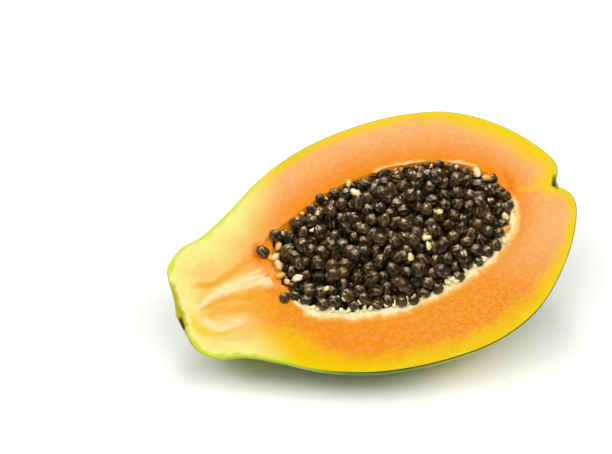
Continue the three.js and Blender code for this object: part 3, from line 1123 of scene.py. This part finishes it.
def seedShape(place, grid, index, tone):
    form = seedForm
    centre, turned, size = place
    ball, faces, angle = grid
    lump = lumpNoise(ball, form, index)
    waist = np.hypot(ball[:, 1], ball[:, 2])
    ridge = np.sin(form["ridges"] * angle + form["ridgeSway"] * lump + index) * waist
    radius = 1 + form["ridgeHeight"] * ridge + form["lumpHeight"] * lump
    sides = np.array([form["length"], form["width"], form["width"]])
    shape = ball * radius[:, None] * sides * size / 2
    shape[:, 1:] *= (1 - form["taper"] * ball[:, 0])[:, None]
    values = {"seedTone": tone, "wrinkle": (1 + ridge) / 2, "seedPlace": ball + form["wrinkleStep"] * index}
    return shape @ turned.T + centre, faces, values


def seedHeap(material):
    random = np.random.default_rng(fillSeeds["draw"])
    fineGrid, plainGrid = ballGrid(*seedForm["fineGrid"]), ballGrid(*seedForm["plainGrid"])
    places = topSeeds()
    places += rimSeeds(random, places)
    places += scatteredSeeds(random, fillSeeds["raised"])
    places += [(np.array(stray), looseTurn(random), fillSeeds["straySize"]) for stray in fillSeeds["strays"]]
    shown = len(places)
    places += scatteredSeeds(random, fillSeeds["under"])
    shapes = []
    for index, place in enumerate(places):
        tone = random.uniform(0, 1)
        shapes.append(seedShape(place, fineGrid if index < shown else plainGrid, index, tone))
    print("seeds that show:", shown, "of", len(places))
    return newPiece("seed_heap", *gathered(shapes), [material])


seeds = seedHeap(seedMaterial())
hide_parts("seeds")
print("seed heap built,", len(seeds.data.polygons), "faces")

# Torn teeth of the lining between the seeds of the rim
fringeForm = {
    "step": 3.0,
    "placeSpread": 0.01,
    "headingSpread": 0.35,
    "length": (2.2, 5.2),
    "lengthSkew": 1.5,  # more short ones than long ones
    "width": (1.2, 2.4),
    "thinSize": (0.6, 0.7),  # share of the length and of the width on the thin side of the lining
    "heights": (-0.9, 0.3),
    "rise": (-0.3, 0.35),
    "outset": (-1.6, 0.2),  # thin side and thick side
    "thinShare": 0.3,  # how many there are on the thin side
    "roughness": 0.7,
    "lumps": (0.7, 2.1, 0),
    "taper": 0.3,
    "reach": 0.2,
    "yellowness": (0, 0.4),
    "warmth": (0.4, 1),
    "grid": (11, 14),
    "draw": 90210,
}

# Scraps of pulp among the seeds: place on the cut plane, height, size, yellowness, warmth
scrapForm = {
    "scraps": [
        (-10.5, 23.2, 1.6, 3.4, 0.1, 0.1), (-11.6, 28.2, 0.6, 2.6, 0.9, 0.1),
        (-31.8, 14.0, 2.2, 2.4, 0.9, 0.0), (-27.3, 20.6, 1.4, 2.6, 0.8, 0.0),
        (-44.3, -2.2, 2.0, 3.6, 0.3, 0.0), (-49.5, 5.6, 0.6, 3.4, 0.1, 0.3),
        (9.4, -4.2, 3.0, 2.8, 0.7, 0.0), (9.1, -7.6, 2.8, 2.8, 0.5, 0.1),
        (0.5, -9.4, 2.8, 2.8, 1.0, 0.2), (18.1, 4.2, 2.6, 2.6, 1.0, 0.0),
        (38.9, 15.2, 1.4, 3.6, 0.3, 0.0), (42.1, 11.8, 0.6, 3.2, 0.5, 0.8),
        (41.2, -10.2, 0.8, 4.2, 0.4, 0.9), (17.3, -23.6, 0.6, 2.8, 0.4, 0.0),
        (28.0, -19.2, 0.8, 2.8, 0.3, 0.1), (5.2, -22.2, 1.4, 1.6, 1.0, 0.1),
        (-33.0, -15.4, 1.4, 2.6, 0.6, 0.0), (-29.5, -16.4, 1.4, 2.2, 0.1, 0.0),
        (-23.9, -19.4, 1.0, 2.6, 0.1, 0.0), (-35.2, -10.2, 2.2, 2.2, 1.0, 0.0),
        (39.0, -15.2, 0.6, 3.0, 0.1, 0.1), (43.0, -6.0, 0.6, 3.0, 0.1, 0.2),
        (-47.0, 13.2, -0.4, 3.0, 0.6, 0.6), (-49.4, 9.4, -1.0, 3.4, 1.0, 0.4),
        (-51.4, 9.8, -0.6, 3.0, 0.9, 0.6), (-50.2, 1.6, -0.6, 3.0, 0.8, 0.6),
        (-48.4, -1.6, -0.8, 2.6, 0.8, 0.5),
    ],
    "shape": (1.25, 0.85, 0.66),
    "tilt": 0.5,
    "roughness": 0.42,
    "lumps": (0.6, 5.3, 1),
    "grid": (9, 12),
    "draw": 313,
}


def fringeTooth(random, grid, angle, index):
    form = fringeForm
    ball, faces = grid[:2]
    fullness = float(liningFullness(angle))
    lengthShare, widthShare = (mixed(thin, 1.0, fullness) for thin in form["thinSize"])
    length = mixed(*form["length"], random.uniform(0, 1) ** form["lengthSkew"]) * lengthShare
    width = random.uniform(*form["width"]) * widthShare
    share = 1 + mixed(*form["outset"], fullness) / float(rimRadius(angle))
    root = hollowPoints(np.array(angle), share, random.uniform(*form["heights"]))
    inwards = math.pi + angle + random.normal(0, form["headingSpread"])
    turned = seedTurn(random.uniform(0, math.pi), -random.uniform(*form["rise"]), inwards)
    lumps = 1 + form["roughness"] * lumpNoise(ball, form, index)
    shape = ball * lumps[:, None] * (length / 2, width / 2, width / 2)
    shape[:, 1:] *= (1 - form["taper"] * ball[:, 0])[:, None]
    shape[:, 0] += form["reach"] * length
    yellowness = random.uniform(*form["yellowness"])
    warmth = (1 - fullness) * random.uniform(*form["warmth"])
    return shape @ turned.T + root, faces, {"yellowness": yellowness, "warmth": warmth}


def hollowFringe(material):
    random = np.random.default_rng(fringeForm["draw"])
    grid = ballGrid(*fringeForm["grid"])
    shapes = []
    for index, angle in enumerate(rimAngles(fringeForm["step"])):
        wanted = mixed(fringeForm["thinShare"], 1.0, float(liningFullness(angle))) * (1 - shelfShare(angle))
        if random.uniform(0, 1) < wanted:
            place = angle + random.normal(0, fringeForm["placeSpread"])
            shapes.append(fringeTooth(random, grid, place, index))
    return newPiece("hollow_fringe", *gathered(shapes), [material])


def pulpScraps(material):
    form = scrapForm
    random = np.random.default_rng(form["draw"])
    ball, faces = ballGrid(*form["grid"])[:2]
    shapes = []
    for index, (x, y, height, size, yellow, warm) in enumerate(form["scraps"]):
        share = shareOfHollow(x - middleX, y - middleY)
        turned = seedTurn(*random.uniform(-form["tilt"], form["tilt"], 2), random.uniform(0, math.pi))
        lumps = 1 + form["roughness"] * lumpNoise(ball, form, index)
        shape = ball * lumps[:, None] * size / 2 * form["shape"]
        centre = (x, y, heapLevel(min(share, 1.0)) + height)
        shapes.append((shape @ turned.T + centre, faces, {"yellowness": yellow, "warmth": warm}))
    return newPiece("pulp_scraps", *gathered(shapes), [material])


for made in (hollowFringe(pulp), pulpScraps(pulp)):
    print(made.name, "built,", len(made.data.polygons), "faces")

studio = {
    "floorSize": 6.0,
    "floor": (tint(243, 243, 242), tint(245, 245, 245)),
    "floorNoise": 3.0,
    "floorRoughness": 0.8,
    "world": 0.06,
    "lamps": [  # name, watts, size, place, whether it is seen in gloss only
        ("front", 82, (5.4, 1.1), (-0.2, -0.5, 2.44), False),
        ("left", 20, (2.2, 1.1), (-1.6, -0.5, 2.3), False),
        ("right", 18, (2.2, 1.1), (1.2, -1.2, 2.3), False),
        ("back", 2.0, (0.4, 0.4), (0.1, 0.62, 0.95), False),
        ("glint", 34, (0.3, 0.3), (0.1, 0.62, 0.95), True),
    ],
}


def floorMaterial():
    material, tree, shader = newMaterial("pale floor")
    coordinates = tree.nodes.new("ShaderNodeTexCoord").outputs["Object"]
    colour = blended(tree, noisy(tree, coordinates, studio["floorNoise"]), *studio["floor"])
    setInputs(tree, shader, {"Base Color": colour, "Roughness": studio["floorRoughness"]})
    return material


def whiteFloor():
    half = studio["floorSize"] / 2
    corners = [(-half, -half, 0), (half, -half, 0), (half, half, 0), (-half, half, 0)]
    mesh = bpy.data.meshes.new("floor")
    mesh.from_pydata(corners, [], [(0, 1, 2, 3)])
    mesh.materials.append(floorMaterial())
    newObject("floor", mesh)


def studioLight():
    world = bpy.data.worlds.new("studio")
    world.use_nodes = True
    background = world.node_tree.nodes["Background"]
    setInputs(world.node_tree, background, {"Color": (1, 1, 1, 1), "Strength": studio["world"]})
    bpy.context.scene.world = world
    for name, watts, size, place, glossOnly in studio["lamps"]:
        light = bpy.data.lights.new(name, "AREA")
        light.energy = watts
        light.shape = "RECTANGLE"
        light.size, light.size_y = size
        lamp = newObject(name, light)
        lamp.location = place
        lamp.visible_glossy = glossOnly
        lamp.visible_diffuse = not glossOnly
        lamp.rotation_euler = (-Vector(place)).to_track_quat("-Z", "Y").to_euler()
    bpy.context.scene.view_settings.view_transform = "Standard"


viewpoint = {
    "azimuth": math.radians(-18),
    "elevation": math.radians(48),
    "lens": 85,
    "sensor": 36,
    "image": (612, 454),
    "middlePixel": (400, 238),  # where the middle of the cut face shows
    "distance": 578,  # millimetres
    "clipStart": 0.01,
}


def photoCamera():
    azimuth, elevation = viewpoint["azimuth"], viewpoint["elevation"]
    flat = math.cos(elevation)
    towards = Vector((math.sin(azimuth) * flat, -math.cos(azimuth) * flat, math.sin(elevation)))
    right = Vector((0, 0, 1)).cross(towards).normalized()
    above = towards.cross(right)
    width, height = viewpoint["image"]
    perPixel = viewpoint["distance"] * mm * viewpoint["sensor"] / viewpoint["lens"] / width
    aside = (viewpoint["middlePixel"][0] - width / 2) * perPixel
    lower = (viewpoint["middlePixel"][1] - height / 2) * perPixel
    middle = Vector(toTable([(0, 0, 0)])[0])
    eye = middle + towards * viewpoint["distance"] * mm - right * aside + above * lower
    camera = bpy.data.cameras.new("camera")
    camera.lens = viewpoint["lens"]
    camera.sensor_width = viewpoint["sensor"]
    camera.clip_start = viewpoint["clipStart"]
    body = newObject("camera", camera)
    body.matrix_world = Matrix.Translation(eye) @ Matrix((right, above, towards)).transposed().to_4x4()
    bpy.context.scene.camera = body


whiteFloor()
studioLight()
photoCamera()
print("floor, light and camera set")
